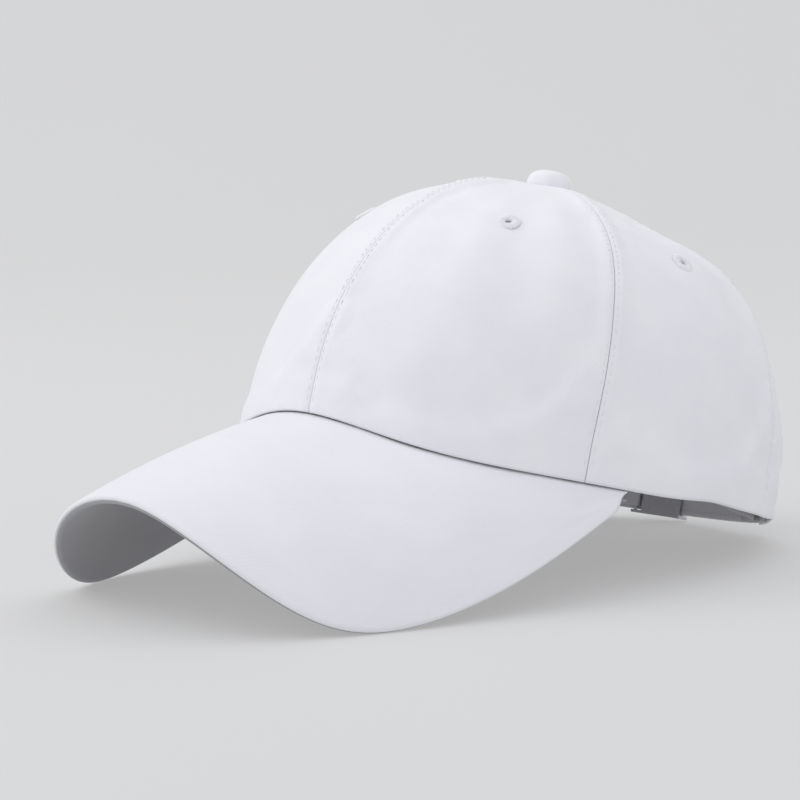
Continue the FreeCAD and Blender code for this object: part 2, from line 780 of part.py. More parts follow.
make_panels()
make_eyelets()
make_tapes()
make_binding()
make_sweatband()
make_brim()
make_button()
make_strap()
make_loop()
make_buckle_frame()
make_buckle_pin()
make_buckle_lever()
doc.recompute()
stand(Vector(0, 0, 0))
rough = whole_box()
stand(Vector(0, -rough.Center.y, -rough.ZMin))
check()
report()

os.makedirs("parts", exist_ok=True)
for name, (piece, _, _) in PARTS.items():
    piece.Shape.exportStep(f"parts/{name}.step")
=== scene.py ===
from math import asin, cos, degrees, exp, hypot, pi, radians, sin, sqrt

import bpy
from mathutils import Matrix, Vector


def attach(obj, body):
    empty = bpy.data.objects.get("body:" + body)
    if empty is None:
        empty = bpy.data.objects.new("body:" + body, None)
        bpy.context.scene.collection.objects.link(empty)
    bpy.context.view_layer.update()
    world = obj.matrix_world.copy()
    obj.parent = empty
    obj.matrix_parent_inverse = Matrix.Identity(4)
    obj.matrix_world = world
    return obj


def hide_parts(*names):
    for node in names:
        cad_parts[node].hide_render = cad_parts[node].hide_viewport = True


# Baseball cap of pale twill. Sizes are millimetres, angles are degrees unless they are
# called turn (phi, round the crown from its front) or height (theta, up its profile),
# which are radians. Soft pieces are drawn in the plane of the hem and then tilted back.

MM = 0.001

HEM_HALF_WIDTH = 84.8
HEM_HALF_LENGTH = 98.1
CROWN_HEIGHT = 99.6
CROWN_SETBACK = -4.8
FRONT_FULLNESS = 2.27
SIDE_FULLNESS = 2.58
BACK_FULLNESS = 1.82
SIDE_BULGE = 0.046
BACK_BULGE = 0.01
FRONT_SEAM = 66.4
BACK_SEAM = 117.0
HEM_ARCH_HEIGHT = 8.2
HEM_ARCH_POWER = 5.6
CROWN_TOP = radians(88.5)

TILT = radians(14.95)
HEM_MIDDLE = (0.0, 33.632, 26.219)       # middle of the hem's plane as the cap stands

CLOTH = 0.9
SEAM_GAP = 0.2
TAPE_HALF_WIDTH = 8.5
TAPE_TAPER = 0.4
TAPE_END = 7.0
TAPE_CLOTH = 0.6
BAND_HEIGHT = 30.0
BAND_LIFT = 0.6
BAND_CLOTH = 1.6
BAND_DEPTH = 1.9
TUNNEL_DEPTH = 7.9
TUNNEL_START = 92.0        # turn at which the sweatband starts to leave the crown
TUNNEL_EASE = 30.0
OPENING_HALF_WIDTH = 36.0
OPENING_HEIGHT = 46.0

BRIM_CORNER = 75.4
BRIM_LENGTH = 75.0
BRIM_EDGE_POWER = 2.95
BRIM_SPREAD = 1.023
BRIM_FALL = 0.259
BRIM_ROOT_RADIUS = 95.1
BRIM_NARROWING = 0.504
BRIM_CROWN = 1.6
BRIM_LIFT = 0.9
BRIM_THICKNESS = 3.2
BRIM_REACH = 0.965
BRIM_SKIN = 0.6
BRIM_PLY_GAP = 0.04
BRIM_SEAM = 0.38           # valley where the brim's two covers meet
BRIM_ROUNDING = 0.9
CORNER_CLOSENESS = 1.385
ROOT_DEPTH = 1.2
ROOT_GAP = 0.2

EYELETS = {"front": (38.0, 51.6), "side": (90.2, 47.6), "back": (148.0, 52.0)}
EYELET_RADIUS = 4.0
EYELET_HOLE = 1.1
EYELET_HEIGHT = 0.8
EYELET_STITCHES = 34

BUTTON_RADIUS = 7.7
BUTTON_HEIGHT = 6.8
BUTTON_CLOTH = 0.7
BUTTON_SINK = 0.25
BUTTON_SIDE = 0.74         # how square the button is at its side and over its top
BUTTON_OVER = 0.55
BUTTON_PLEATS = 12

ARC_CENTRE = 20.2
STRAP_RADIUS = 72.9
STRAP_CLOTH = 1.4
STRAP_WIDTH = 18.0
STRAP_LOW = 0.4
STRAP_HALF_TURN = 44.0
LOOP_CLOTH = 0.6
LOOP_PLAY = 0.4
LOOP_WIDTH = 16.0
LOOP_TURN = 27.0
LOOP_RETURN = 5.0
BAR_TURN = 19.4
BAR_RADIUS = 0.6

STITCH_LENGTH = 2.2
STITCH_PITCH = 2.9
THREAD_RADIUS = 0.15
STITCH_OFFSET = 1.3
TAPE_STITCH_OFFSET = 6.1
ARCH_STITCHES = ((1.8, 122), (7.2, 136))   # outside the arch's edge, with the length of each row
BAND_STITCHES = (0.12, 0.88)               # shares of the sweatband's height
STRAP_STITCHES = (-0.8, 0.8)               # shares of the strap's half width

SEAM_LENGTH = 142          # stitched length of a crown seam
BACK_SEAM_LENGTH = 100
TAPE_LENGTH = 146
BACK_TAPE_LENGTH = 82
PROFILE_LENGTH = 150.0     # cloth from the hem to the top
CLOTH_PER_RADIAN = 105     # cloth up the profile, for the weave
GRID_PITCH = 2.4

SEAM_HOLD = 0.75           # share of a fold that a seam takes away, and how far it reaches
SEAM_HOLD_REACH = 9
RIPPLE = 0.25
FRONT_CREEP = 3.4          # turn by which the front seam has crept round at the hem
FARTHEST_IN = 1.3          # the cloth is stiffened at the front and hangs no further than this
FARTHEST_OUT = 0.5

STEP = 1e-3


# ---------------------------------------------------------------- the crown's shape

def to_row(point):
    """Point drawn in the hem's plane, in millimetres, as the cap stands, in metres."""
    x, y, z = point
    return Vector((
        HEM_MIDDLE[0] + x,
        HEM_MIDDLE[1] + y * cos(TILT) + z * sin(TILT),
        HEM_MIDDLE[2] - y * sin(TILT) + z * cos(TILT),
    )) * MM


def round_crown(phi, front, side, back):
    """Value here of something that differs at the crown's front, sides and back."""
    end = front if cos(phi) > 0 else back
    return side + (end - side) * cos(phi) ** 2


def hem_rise(phi):
    """Rise of the hem over the brim."""
    share = min(abs(phi) / radians(BRIM_CORNER), 1)
    return HEM_ARCH_HEIGHT * cos(pi / 2 * share) ** HEM_ARCH_POWER


def profile_power(phi):
    return 2 / round_crown(phi, FRONT_FULLNESS, SIDE_FULLNESS, BACK_FULLNESS)


def crown(phi, theta):
    """Point of the crown's plain shape."""
    power = profile_power(phi)
    bulge = round_crown(phi, 0, SIDE_BULGE, BACK_BULGE)
    reach = max(cos(theta), 0) ** power * (1 + bulge * sin(2 * theta) ** 2)
    low = hem_rise(phi)
    return Vector((
        HEM_HALF_WIDTH * sin(phi) * reach,
        CROWN_SETBACK - (HEM_HALF_LENGTH * cos(phi) + CROWN_SETBACK) * reach,
        low + (CROWN_HEIGHT - low) * max(sin(theta), 0) ** power,
    ))


def crown_slopes(phi, theta):
    """Point, outward direction and millimetres per radian round the crown."""
    low = max(theta - STEP, 0)
    around = crown(phi + STEP, theta) - crown(phi - STEP, theta)
    upward = crown(phi, theta + STEP) - crown(phi, low)
    return crown(phi, theta), around.cross(upward).normalized(), around.length / (2 * STEP)


def theta_at(phi, rise):
    """Height up the profile at which the cloth is this far above the hem."""
    share = rise / (CROWN_HEIGHT - hem_rise(phi))
    return asin(share ** (1 / profile_power(phi)))


def bell(value, middle, spread):
    return exp(-((value - middle) / spread) ** 2)


def ease(share):
    share = min(max(share, 0), 1)
    return share * share * (3 - 2 * share)


# Folds of the worn cloth: turn, height, how far they spread both ways, lean and depth.
FOLDS = (
    (20, 32, 8, 26, 0.10, -0.9),
    (31, 34, 6, 24, 0.05, 0.9),
    (43, 38, 6, 24, -0.12, -1.5),
    (54, 42, 5, 22, -0.10, 1.1),
    (12, 10, 16, 5, 0.0, 0.9),
    (28, 14, 14, 6, 0.0, 0.5),
    (80, 44, 9, 22, 0.12, -0.7),
    (93, 26, 10, 18, 0.0, 0.7),
    (106, 36, 7, 24, 0.10, -0.6),
    (126, 34, 8, 24, 0.0, -0.7),
    (147, 58, 9, 14, 0.1, 0.6),
    (165, 62, 8, 16, 0.0, -0.6),
    (-18, 32, 10, 26, -0.08, -0.8),
    (-52, 38, 8, 26, 0.12, -0.9),
    (-85, 34, 9, 26, 0.0, -0.8),
    (-103, 40, 8, 20, 0.1, 0.6),
    (-132, 36, 10, 24, 0.0, -0.8),
    (-150, 56, 9, 16, -0.1, 0.6),
)


# Broad slumps and fullnesses that the seams don't hold: turn, height, how far they spread
# both ways, and how far out the cloth goes.
SLUMPS = (
    (108, 68, 30, 14, -4.0),
    (-12, 72, 26, 12, 1.4),
    (-34, 60, 16, 11, 0.8),
    (-42, 5, 16, 12, 1.2),
    (137, 2, 15, 9, -1.4),
    (-42, 34, 18, 24, -0.8),
)


def nearest_seam(phi):
    """Turn from the nearest of the six seams, with its sign."""
    seams = (0, FRONT_SEAM, BACK_SEAM, 180, -FRONT_SEAM, -BACK_SEAM, -180)
    return min((phi - radians(seam) for seam in seams), key=abs)


def fold(phi, theta, span):
    """How far the folds push the cloth out; the seams hold it."""
    turn = degrees(phi)
    height = degrees(theta)
    held = 1 - SEAM_HOLD * exp(-(nearest_seam(phi) * span / SEAM_HOLD_REACH) ** 2)
    held *= ease((88 - height) / 20)
    push = 0
    for middle, level, wide, tall, lean, depth in FOLDS:
        push += depth * bell(turn, middle + lean * (height - level), wide) * bell(height, level, tall)
    push += RIPPLE * sin(phi * 17 + 2.2 * sin(theta * 3)) * sin(theta * 2.6 + phi)
    slump = 0
    for middle, level, wide, tall, depth in SLUMPS:
        slump += depth * bell(turn, middle, wide) * bell(height, level, tall)
    return push * held + slump


# The hem isn't level: it is bowed up on the left and hangs a little on the right. Turn, how
# far it spreads and rise.
LIFTS = ((97, 9, 1.6), (112, 9, 0.9), (136, 15, 1.7), (-142, 24, -1.4))


def hem_lift(phi, theta):
    turn = degrees(phi)
    lift = sum(rise * bell(turn, middle, wide) for middle, wide, rise in LIFTS)
    return lift * exp(-(degrees(theta) / 22) ** 2)


def twist(phi, theta):
    """Turn by which the worn cloth has crept round, mostly at the front seam."""
    turn = degrees(phi)
    height = degrees(theta)
    creep = FRONT_CREEP * bell(turn, 0, 20) * (1 - (height / 90) ** 3)
    creep += bell(turn, FRONT_SEAM, 18) * (0.9 * bell(height, 45, 18) - 1.2 * bell(height, 0, 12))
    return radians(creep)


SETTLED = {}         # how far the hanging cloth moved outward, on a grid of turns and heights
SETTLED_TURNS = 132
SETTLED_HEIGHTS = 40


def settled(phi, theta):
    """Movement of the hanging cloth here, blended between the four nearest grid points."""
    if not SETTLED:
        return 0.0
    across = (phi / (2 * pi) % 1) * SETTLED_TURNS
    up = min(theta / CROWN_TOP, 0.9999) * (SETTLED_HEIGHTS - 1)
    i = int(across)
    j = int(up)
    s = across - i
    t = up - j
    after = (i + 1) % SETTLED_TURNS
    i %= SETTLED_TURNS
    low = SETTLED[i, j] * (1 - s) + SETTLED[after, j] * s
    high = SETTLED[i, j + 1] * (1 - s) + SETTLED[after, j + 1] * s
    return low * (1 - t) + high * t


def cloth_point(phi, theta, depth=0.0):
    """Point of the worn crown, a depth under its outer face, and the direction out."""
    point, normal, span = crown_slopes(phi + twist(phi, theta), theta)
    out = fold(phi, theta, span) + settled(phi, theta) - depth
    point = point + normal * out
    point.z += hem_lift(phi, theta)
    return point, normal, span


def seam_relief(phi, theta, span):
    """Valley of a seam, the ridges of its turned edges and the puckers of its stitches."""
    distance = nearest_seam(phi) * span
    side = abs(distance)
    along = theta * 120
    relief = -0.42 * exp(-(side / 0.55) ** 2)
    relief += 0.14 * exp(-((side - 3.0) / 1.7) ** 2)
    relief -= 0.10 * exp(-((side - STITCH_OFFSET) / 0.4) ** 2)
    pucker = sin(along * 0.9 + 2 * sin(along * 0.13)) * exp(-(side / 5) ** 2)
    return relief + 0.07 * pucker * min(side, 1)


# ---------------------------------------------------------------- meshes and materials

def mesh_object(name, points, faces, material, uvs=None):
    """Smooth mesh from points in metres; uvs are millimetres of cloth, one for each point."""
    mesh = bpy.data.meshes.new(name)
    mesh.from_pydata(points, [], faces)
    if uvs:
        layer = mesh.uv_layers.new(name="Cloth")
        for loop in mesh.loops:
            layer.data[loop.index].uv = uvs[loop.vertex_index]
    mesh.materials.append(material)
    mesh.shade_smooth()
    piece = bpy.data.objects.new(name, mesh)
    bpy.context.collection.objects.link(piece)
    return piece


def shell(name, outer, inner, uvs, material):
    """Closed sheet between two grids of points (rows of columns)."""
    rows = len(outer)
    columns = len(outer[0])
    points = [p for row in outer for p in row] + [p for row in inner for p in row]
    flat = [uv for row in uvs for uv in row] * 2
    under = rows * columns
    faces = []
    for i in range(rows - 1):
        for j in range(columns - 1):
            a = i * columns + j
            b = a + columns
            faces.append((a, a + 1, b + 1, b))
            faces.append((under + a, under + b, under + b + 1, under + a + 1))
    rim = [(0, j) for j in range(columns)]
    rim += [(i, columns - 1) for i in range(1, rows)]
    rim += [(rows - 1, j) for j in range(columns - 2, -1, -1)]
    rim += [(i, 0) for i in range(rows - 2, 0, -1)]
    for k, (i, j) in enumerate(rim):
        m, n = rim[(k + 1) % len(rim)]
        a = i * columns + j
        b = m * columns + n
        faces.append((a, under + a, under + b, b))
    return mesh_object(name, points, faces, material, flat)


def tube(points, faces, path, radius, sides=6):
    """Add a closed round tube along a path of Vectors, thin at both ends."""
    first = len(points)
    last = len(path) - 1
    for k, middle in enumerate(path):
        ahead = path[min(k + 1, last)] - path[max(k - 1, 0)]
        across = ahead.orthogonal().normalized()
        other = ahead.cross(across).normalized()
        size = radius * (0.45 if k in (0, last) else 1)
        for s in range(sides):
            turn = 2 * pi * s / sides
            points.append(middle + (across * cos(turn) + other * sin(turn)) * size)
    for k in range(last):
        for s in range(sides):
            a = first + k * sides + s
            b = first + k * sides + (s + 1) % sides
            faces.append((a, b, b + sides, a + sides))
    faces.append(tuple(first + s for s in reversed(range(sides))))
    faces.append(tuple(first + last * sides + s for s in range(sides)))


def sew(name, lines, body, thread=None):
    """Stitches along lines; a line is a function of its share, with its length in mm."""
    points = []
    faces = []
    for line, length in lines:
        count = max(int(length / STITCH_PITCH), 1)
        for k in range(count):
            start = (k + 0.12) / count
            end = start + STITCH_LENGTH / length
            path = []
            for m in range(5):
                share = min(start + (end - start) * m / 4, 1)
                place, out = line(share)
                height = THREAD_RADIUS * (1.1 * sin(pi * m / 4) - 0.55)
                path.append(to_row(place + out * height))
            tube(points, faces, path, THREAD_RADIUS * MM)
    piece = mesh_object(name, points, faces, thread or THREAD)
    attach(piece, body)
    return piece


def start_material(name, color, roughness):
    material = bpy.data.materials.new(name)
    material.use_nodes = True
    shader = material.node_tree.nodes["Principled BSDF"]
    shader.inputs["Base Color"].default_value = (*color, 1)
    shader.inputs["Roughness"].default_value = roughness
    return material, shader


def node(material, kind, **values):
    made = material.node_tree.nodes.new(kind)
    for key, value in values.items():
        made.inputs[key.replace("_", " ")].default_value = value
    return made


def uneven_color(material, shader, coordinates, color, other, scale):
    """Soft patches of a second tone."""
    links = material.node_tree.links
    noise = node(material, "ShaderNodeTexNoise", Scale=scale, Detail=3.0, Roughness=0.55)
    ramp = node(material, "ShaderNodeValToRGB")
    ramp.color_ramp.elements[0].position = 0.35
    ramp.color_ramp.elements[0].color = (*other, 1)
    ramp.color_ramp.elements[1].position = 0.65
    ramp.color_ramp.elements[1].color = (*color, 1)
    links.new(coordinates, noise.inputs["Vector"])
    links.new(noise.outputs["Fac"], ramp.inputs["Fac"])
    links.new(ramp.outputs["Color"], shader.inputs["Base Color"])


def cloth_material(name, color, other, pitch=0.8, relief=0.10, sheen=0.25, lean=35.0):
    """Twill: slanted ribs crossed by threads, over soft unevenness, in millimetres of cloth."""
    material, shader = start_material(name, color, 0.86)
    links = material.node_tree.links
    shader.inputs["Sheen Weight"].default_value = sheen
    shader.inputs["Sheen Roughness"].default_value = 0.5
    shader.inputs["Specular IOR Level"].default_value = 0.25
    place = node(material, "ShaderNodeTexCoord")
    uneven_color(material, shader, place.outputs["UV"], color, other, 0.045)
    slant = node(material, "ShaderNodeMapping")
    slant.inputs["Rotation"].default_value = (0, 0, radians(lean))
    links.new(place.outputs["UV"], slant.inputs["Vector"])
    ribs = node(material, "ShaderNodeTexWave", Scale=0.314 / pitch, Distortion=0.6,
                Detail=1.0, Detail_Scale=2.0)
    links.new(slant.outputs["Vector"], ribs.inputs["Vector"])
    grain = node(material, "ShaderNodeTexNoise", Scale=1.6, Detail=4.0, Roughness=0.6)
    links.new(place.outputs["UV"], grain.inputs["Vector"])
    fine = node(material, "ShaderNodeBump", Strength=relief, Distance=0.0002)
    links.new(ribs.outputs["Fac"], fine.inputs["Height"])
    rough = node(material, "ShaderNodeBump", Strength=relief, Distance=0.0003)
    links.new(grain.outputs["Fac"], rough.inputs["Height"])
    links.new(fine.outputs["Normal"], rough.inputs["Normal"])
    links.new(rough.outputs["Normal"], shader.inputs["Normal"])
    return material


def grained_material(name, color, other, roughness, metallic, scale, stretch, relief):
    """Metal or plastic with a fine grain that can be drawn out one way."""
    material, shader = start_material(name, color, roughness)
    links = material.node_tree.links
    shader.inputs["Metallic"].default_value = metallic
    place = node(material, "ShaderNodeTexCoord")
    slant = node(material, "ShaderNodeMapping")
    slant.inputs["Scale"].default_value = stretch
    links.new(place.outputs["Object"], slant.inputs["Vector"])
    uneven_color(material, shader, slant.outputs["Vector"], color, other, scale)
    grain = node(material, "ShaderNodeTexNoise", Scale=scale, Detail=3.0, Roughness=0.5)
    links.new(slant.outputs["Vector"], grain.inputs["Vector"])
    bump = node(material, "ShaderNodeBump", Strength=relief, Distance=0.0001)
    links.new(grain.outputs["Fac"], bump.inputs["Height"])
    links.new(bump.outputs["Normal"], shader.inputs["Normal"])
    return material


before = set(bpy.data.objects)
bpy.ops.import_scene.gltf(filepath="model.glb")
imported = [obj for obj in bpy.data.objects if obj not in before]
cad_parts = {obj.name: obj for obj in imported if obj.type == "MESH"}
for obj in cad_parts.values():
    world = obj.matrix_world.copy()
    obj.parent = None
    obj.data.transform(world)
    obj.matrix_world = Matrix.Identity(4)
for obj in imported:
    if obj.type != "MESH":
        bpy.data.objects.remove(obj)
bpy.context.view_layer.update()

TWILL = cloth_material("pale twill", (0.85, 0.85, 0.88), (0.82, 0.82, 0.86))
BRIM_TWILL = cloth_material("pale twill on the brim", (0.82, 0.82, 0.855), (0.79, 0.79, 0.83))
# Painted shade: the brim's underside is the same pale twill, coloured grey because it lies in shadow
# under the brim.
UNDER_BRIM_SHADE_TWILL = cloth_material("pale twill under the brim, grey as painted shade", (0.365, 0.365, 0.385), (0.34, 0.34, 0.36))
TAPE = cloth_material("seam tape", (0.70, 0.70, 0.73), (0.66, 0.66, 0.70), 0.6, 0.16, 0.2, 0.0)
# Painted shade: the sweatband's dark grey stands for the shaded inside of the cap, not for a dyed
# band.
BAND = cloth_material("sweatband cotton, darkened as painted shade", (0.37, 0.37, 0.39), (0.34, 0.34, 0.36), 1.0, 0.14)
# Painted shade: the strap and its loop are of pale twill, coloured grey because they lie in the shade
# inside the cap.
STRAP_SHADE_TWILL = cloth_material("pale twill of the strap, grey as painted shade", (0.52, 0.52, 0.545), (0.48, 0.48, 0.505))
THREAD = grained_material("cotton thread", (0.86, 0.86, 0.88), (0.80, 0.80, 0.83), 0.8, 0.0,
                          3000.0, (1, 1, 1), 0.2)
# Painted shade: thread for the sweatband and strap, coloured grey along with them because they lie in
# shade.
THREAD_IN_SHADE = grained_material("cotton thread, grey as painted shade", (0.46, 0.46, 0.48), (0.42, 0.42, 0.44), 0.8,
                               0.0, 3000.0, (1, 1, 1), 0.2)
STEEL = grained_material("brushed steel", (0.62, 0.62, 0.63), (0.50, 0.50, 0.52), 0.32, 1.0,
                         900.0, (1, 1, 14), 0.25)
ALUMINIUM = grained_material("stamped aluminium", (0.80, 0.80, 0.81), (0.70, 0.70, 0.72), 0.38,
                             1.0, 700.0, (1, 1, 1), 0.2)
BOARD = grained_material("board plastic", (0.82, 0.82, 0.80), (0.76, 0.76, 0.75), 0.55, 0.0,
                         300.0, (1, 1, 1), 0.15)


def finish_piece(piece, body, nodes):
    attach(piece, body)
    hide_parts(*nodes)
    return piece


# ---------------------------------------------------------------- the cloth settles

def hang_cloth():
    """Let a crown of slightly loose cloth hang from its seams, hem and top."""
    points = []
    normals = []
    held = []
    for i in range(SETTLED_TURNS):
        phi = 2 * pi * i / SETTLED_TURNS
        phi = phi - 2 * pi if phi > pi else phi
        for j in range(SETTLED_HEIGHTS):
            theta = CROWN_TOP * j / (SETTLED_HEIGHTS - 1)
            point, normal, span = crown_slopes(phi, theta)
            points.append(to_row(point))
            normals.append(to_row(point + normal) - points[-1])
            seam = exp(-(nearest_seam(phi) * span / 4) ** 2)
            edge = 1 if j < 2 or j > SETTLED_HEIGHTS - 5 else 0
            held.append(max(seam, edge))
    faces = []
    for i in range(SETTLED_TURNS):
        after = (i + 1) % SETTLED_TURNS
        for j in range(SETTLED_HEIGHTS - 1):
            a = i * SETTLED_HEIGHTS + j
            b = after * SETTLED_HEIGHTS + j
            faces.append((a, b, b + 1, a + 1))
    hanging = mesh_object("hanging_cloth", points, faces, TWILL)
    pins = hanging.vertex_groups.new(name="held")
    for index, weight in enumerate(held):
        pins.add([index], weight, "REPLACE")
    cloth = hanging.modifiers.new("Cloth", "CLOTH")
    settings = cloth.settings
    settings.quality = 8
    settings.mass = 0.25
    settings.tension_stiffness = 30
    settings.compression_stiffness = 30
    settings.shear_stiffness = 12
    settings.bending_stiffness = 1.2
    settings.air_damping = 4
    settings.vertex_group_mass = "held"
    settings.pin_stiffness = 3
    settings.shrink_min = -0.006
    cloth.collision_settings.use_collision = False
    frames = 36
    cloth.point_cache.frame_start = 1
    cloth.point_cache.frame_end = frames
    scene = bpy.context.scene
    for number in range(1, frames + 1):
        scene.frame_set(number)
    moved = hanging.evaluated_get(bpy.context.evaluated_depsgraph_get()).to_mesh()
    level = {}
    for i in range(SETTLED_TURNS):
        for j in range(SETTLED_HEIGHTS):
            index = i * SETTLED_HEIGHTS + j
            shift = (moved.vertices[index].co - points[index]).dot(normals[index]) / MM ** 2
            level[i, j] = min(max(shift, -FARTHEST_IN), FARTHEST_OUT)
    scene.frame_set(1)
    bpy.data.objects.remove(hanging)
    SETTLED.update(level)


# ---------------------------------------------------------------- crown panels

# Distances from a seam, and from the hem, at which a panel's grid has its lines.
SEAM_STEPS = (0.1, 0.4, 0.8, 1.2, 1.6, 2.0, 2.5, 3.1, 3.9, 5.0, 6.5, 8.4)
HEM_STEPS = (0, 0.35, 0.9, 1.8, 3.0, 4.6, 6.6)


def between(start, end, count):
    return [start + (end - start) * k / count for k in range(1, count)]


def opening_theta(phi):
    """Height up the profile at which the cloth starts: over the opening's arch at the back."""
    if OPENING_HALF_WIDTH <= HEM_HALF_WIDTH * abs(sin(phi)) or cos(phi) > 0:
        return 0.0
    low = 0.0
    high = radians(80)
    for _ in range(30):
        middle = (low + high) / 2
        point = crown(phi, middle)
        if (point.x / OPENING_HALF_WIDTH) ** 2 + (point.z / OPENING_HEIGHT) ** 2 < 1:
            low = middle
        else:
            high = middle
    return low


def panel_turns(start, end, arched):
    """Turns of a panel's grid: close together beside its seams and round the arch's foot."""
    reach = [step / HEM_HALF_LENGTH for step in SEAM_STEPS]
    first = [start + step for step in reach]
    last = [end - step for step in reversed(reach)]
    if not arched:
        count = int((last[0] - first[-1]) * HEM_HALF_LENGTH / GRID_PITCH)
        return first + between(first[-1], last[0], count) + last
    foot = pi - asin(OPENING_HALF_WIDTH / HEM_HALF_WIDTH)
    count = int((foot - first[-1]) * HEM_HALF_LENGTH / GRID_PITCH)
    turns = first + between(first[-1], foot - 0.01, count) + [foot - 0.002]
    steps = 16
    for k in range(steps + 1):
        angle = pi / 2 * k / steps
        theta = theta_at(pi, max(OPENING_HEIGHT * sin(angle), 0.01))
        width = HEM_HALF_WIDTH * cos(theta) ** profile_power(pi)
        phi = pi - asin(OPENING_HALF_WIDTH * cos(angle) / width)
        if turns[-1] + 0.001 < phi < last[0] - 0.004:
            turns.append(phi)
    return turns + last


def panel_heights():
    """Shares of the way up at which a panel's rows lie: close together at its lower edge."""
    low = [step / PROFILE_LENGTH for step in HEM_STEPS]
    return low + between(low[-1], 1, 62) + [1]


def make_panel(place, sign, start, end):
    arched = place == "back"
    turns = [sign * turn for turn in panel_turns(radians(start), radians(end), arched)]
    if sign < 0:
        turns.reverse()
    outer = []
    inner = []
    uvs = []
    middle = sign * radians(start + end) / 2
    for share in panel_heights():
        outer_row = []
        inner_row = []
        uv_row = []
        for phi in turns:
            low = opening_theta(phi)
            theta = low + (CROWN_TOP - low) * share
            point, normal, span = cloth_point(phi, theta)
            rise = share * PROFILE_LENGTH
            relief = seam_relief(phi, theta, span) - 0.3 * exp(-(rise / 0.5) ** 2)
            outer_row.append(to_row(point + normal * relief))
            inner_row.append(to_row(point - normal * CLOTH))
            uv_row.append(((phi - middle) * span, theta * CLOTH_PER_RADIAN))
        outer.append(outer_row)
        inner.append(inner_row)
        uvs.append(uv_row)
    side = "left" if sign > 0 else "right"
    piece = shell(f"{place}_{side}_cloth", outer, inner, uvs, TWILL)
    cut_eyelet_hole(piece, place, sign)
    finish_piece(piece, "cap", [f"{place}_panel_{side}"])
    return piece


def eyelet_place(place, sign):
    turn, height = EYELETS[place]
    return cloth_point(sign * radians(turn), radians(height))


def cut_eyelet_hole(piece, place, sign):
    """Cut the air hole through a panel."""
    point, normal, span = eyelet_place(place, sign)
    middle = to_row(point)
    axis = (to_row(point + normal) - middle).normalized()
    turn = axis.to_track_quat("Z", "Y").to_euler()
    bpy.ops.mesh.primitive_cylinder_add(vertices=24, radius=EYELET_HOLE * MM, depth=6 * MM,
                                        location=middle, rotation=turn)
    drill = bpy.context.object
    hole = piece.modifiers.new("hole", "BOOLEAN")
    hole.operation = "DIFFERENCE"
    hole.object = drill
    keep_modified(piece)
    bpy.data.objects.remove(drill)


def keep_modified(piece):
    """Replace a mesh by what its modifiers make of it."""
    graph = bpy.context.evaluated_depsgraph_get()
    mesh = bpy.data.meshes.new_from_object(piece.evaluated_get(graph))
    piece.modifiers.clear()
    piece.data = mesh


AREAS = (("front", 0, FRONT_SEAM), ("side", FRONT_SEAM, BACK_SEAM), ("back", BACK_SEAM, 180))


def make_panels():
    for place, start, end in AREAS:
        for sign in (1, -1):
            piece = make_panel(place, sign, start, end)


# ---------------------------------------------------------------- stitching of the crown

def seam_line(seam, offset, low, depth=0.0):
    """Line beside a seam, up the outer face, or inside it when a depth is given."""
    def line(share):
        theta = low + (radians(84) - low) * share
        phi = radians(seam)
        span = crown_slopes(phi, theta)[2]
        phi += offset / max(span, 6)
        point, normal, span = cloth_point(phi, theta, depth)
        if depth:
            return point, -normal
        return point + normal * seam_relief(phi, theta, span), normal
    return line


def make_seam_stitches():
    over_arch = opening_theta(pi) + 0.02
    seams = {"front": (0,), "front_side": (FRONT_SEAM, -FRONT_SEAM),
             "side_back": (BACK_SEAM, -BACK_SEAM), "back": (180,)}
    for name, turns in seams.items():
        low = over_arch if name == "back" else 0.02
        length = BACK_SEAM_LENGTH if name == "back" else SEAM_LENGTH
        lines = []
        for turn in turns:
            for offset in (STITCH_OFFSET, -STITCH_OFFSET):
                lines.append((seam_line(turn, offset, low), length))
        sew(f"stitches_{name}", lines, "cap")


def arch_line(margin, depth=0.0):
    """Line round the opening, a margin outside its edge."""
    def line(share):
        turn = 0.02 + (pi - 0.04) * share
        across = (OPENING_HALF_WIDTH + margin) * cos(turn)
        rise = max((OPENING_HEIGHT + margin) * sin(turn), 0.3)
        phi, theta = back_turn(across, rise)
        point, normal, span = cloth_point(phi, theta, depth)
        return point, (-normal if depth else normal)
    return line


def back_turn(across, rise):
    """Turn and height at which the back of the crown is this far across and up."""
    low = pi / 2
    high = pi
    for _ in range(30):
        middle = (low + high) / 2
        if crown(middle, theta_at(middle, rise)).x > abs(across):
            low = middle
        else:
            high = middle
    return (low if across >= 0 else -low), theta_at(low, rise)


# ---------------------------------------------------------------- tapes, binding, sweatband

def grid_shell(name, face, rows, columns, flat, material):
    """Closed sheet from face(u, v), which gives its outer and its inner point in the hem's plane."""
    outer = []
    inner = []
    uvs = []
    for i in range(rows):
        pairs = [face(j / (columns - 1), i / (rows - 1)) for j in range(columns)]
        outer.append([to_row(pair[0]) for pair in pairs])
        inner.append([to_row(pair[1]) for pair in pairs])
        uvs.append([(flat[0] * j / (columns - 1), flat[1] * i / (rows - 1)) for j in range(columns)])
    return shell(name, outer, inner, uvs, material)


def taped(turn, low):
    """Strip along a seam; it narrows where the seams meet."""
    top = CROWN_TOP
    while (crown(radians(turn), top) - crown(0, pi / 2)).length < TAPE_END:
        top -= STEP

    def face(u, v):
        theta = low + (top - low) * v
        phi = radians(turn)
        point = crown(phi, theta)
        half = min(TAPE_HALF_WIDTH, TAPE_TAPER * hypot(point.x, point.y - CROWN_SETBACK))
        side = 2 * u - 1
        phi += side * half / crown_slopes(phi, theta)[2]
        point, normal, span = cloth_point(phi, theta)
        outer = CLOTH + SEAM_GAP
        swell = TAPE_CLOTH * (1 - 0.55 * abs(side) ** 6) - 0.12 * bell(abs(side), 0.72, 0.1)
        return point - normal * outer, point - normal * (outer + swell)
    return face


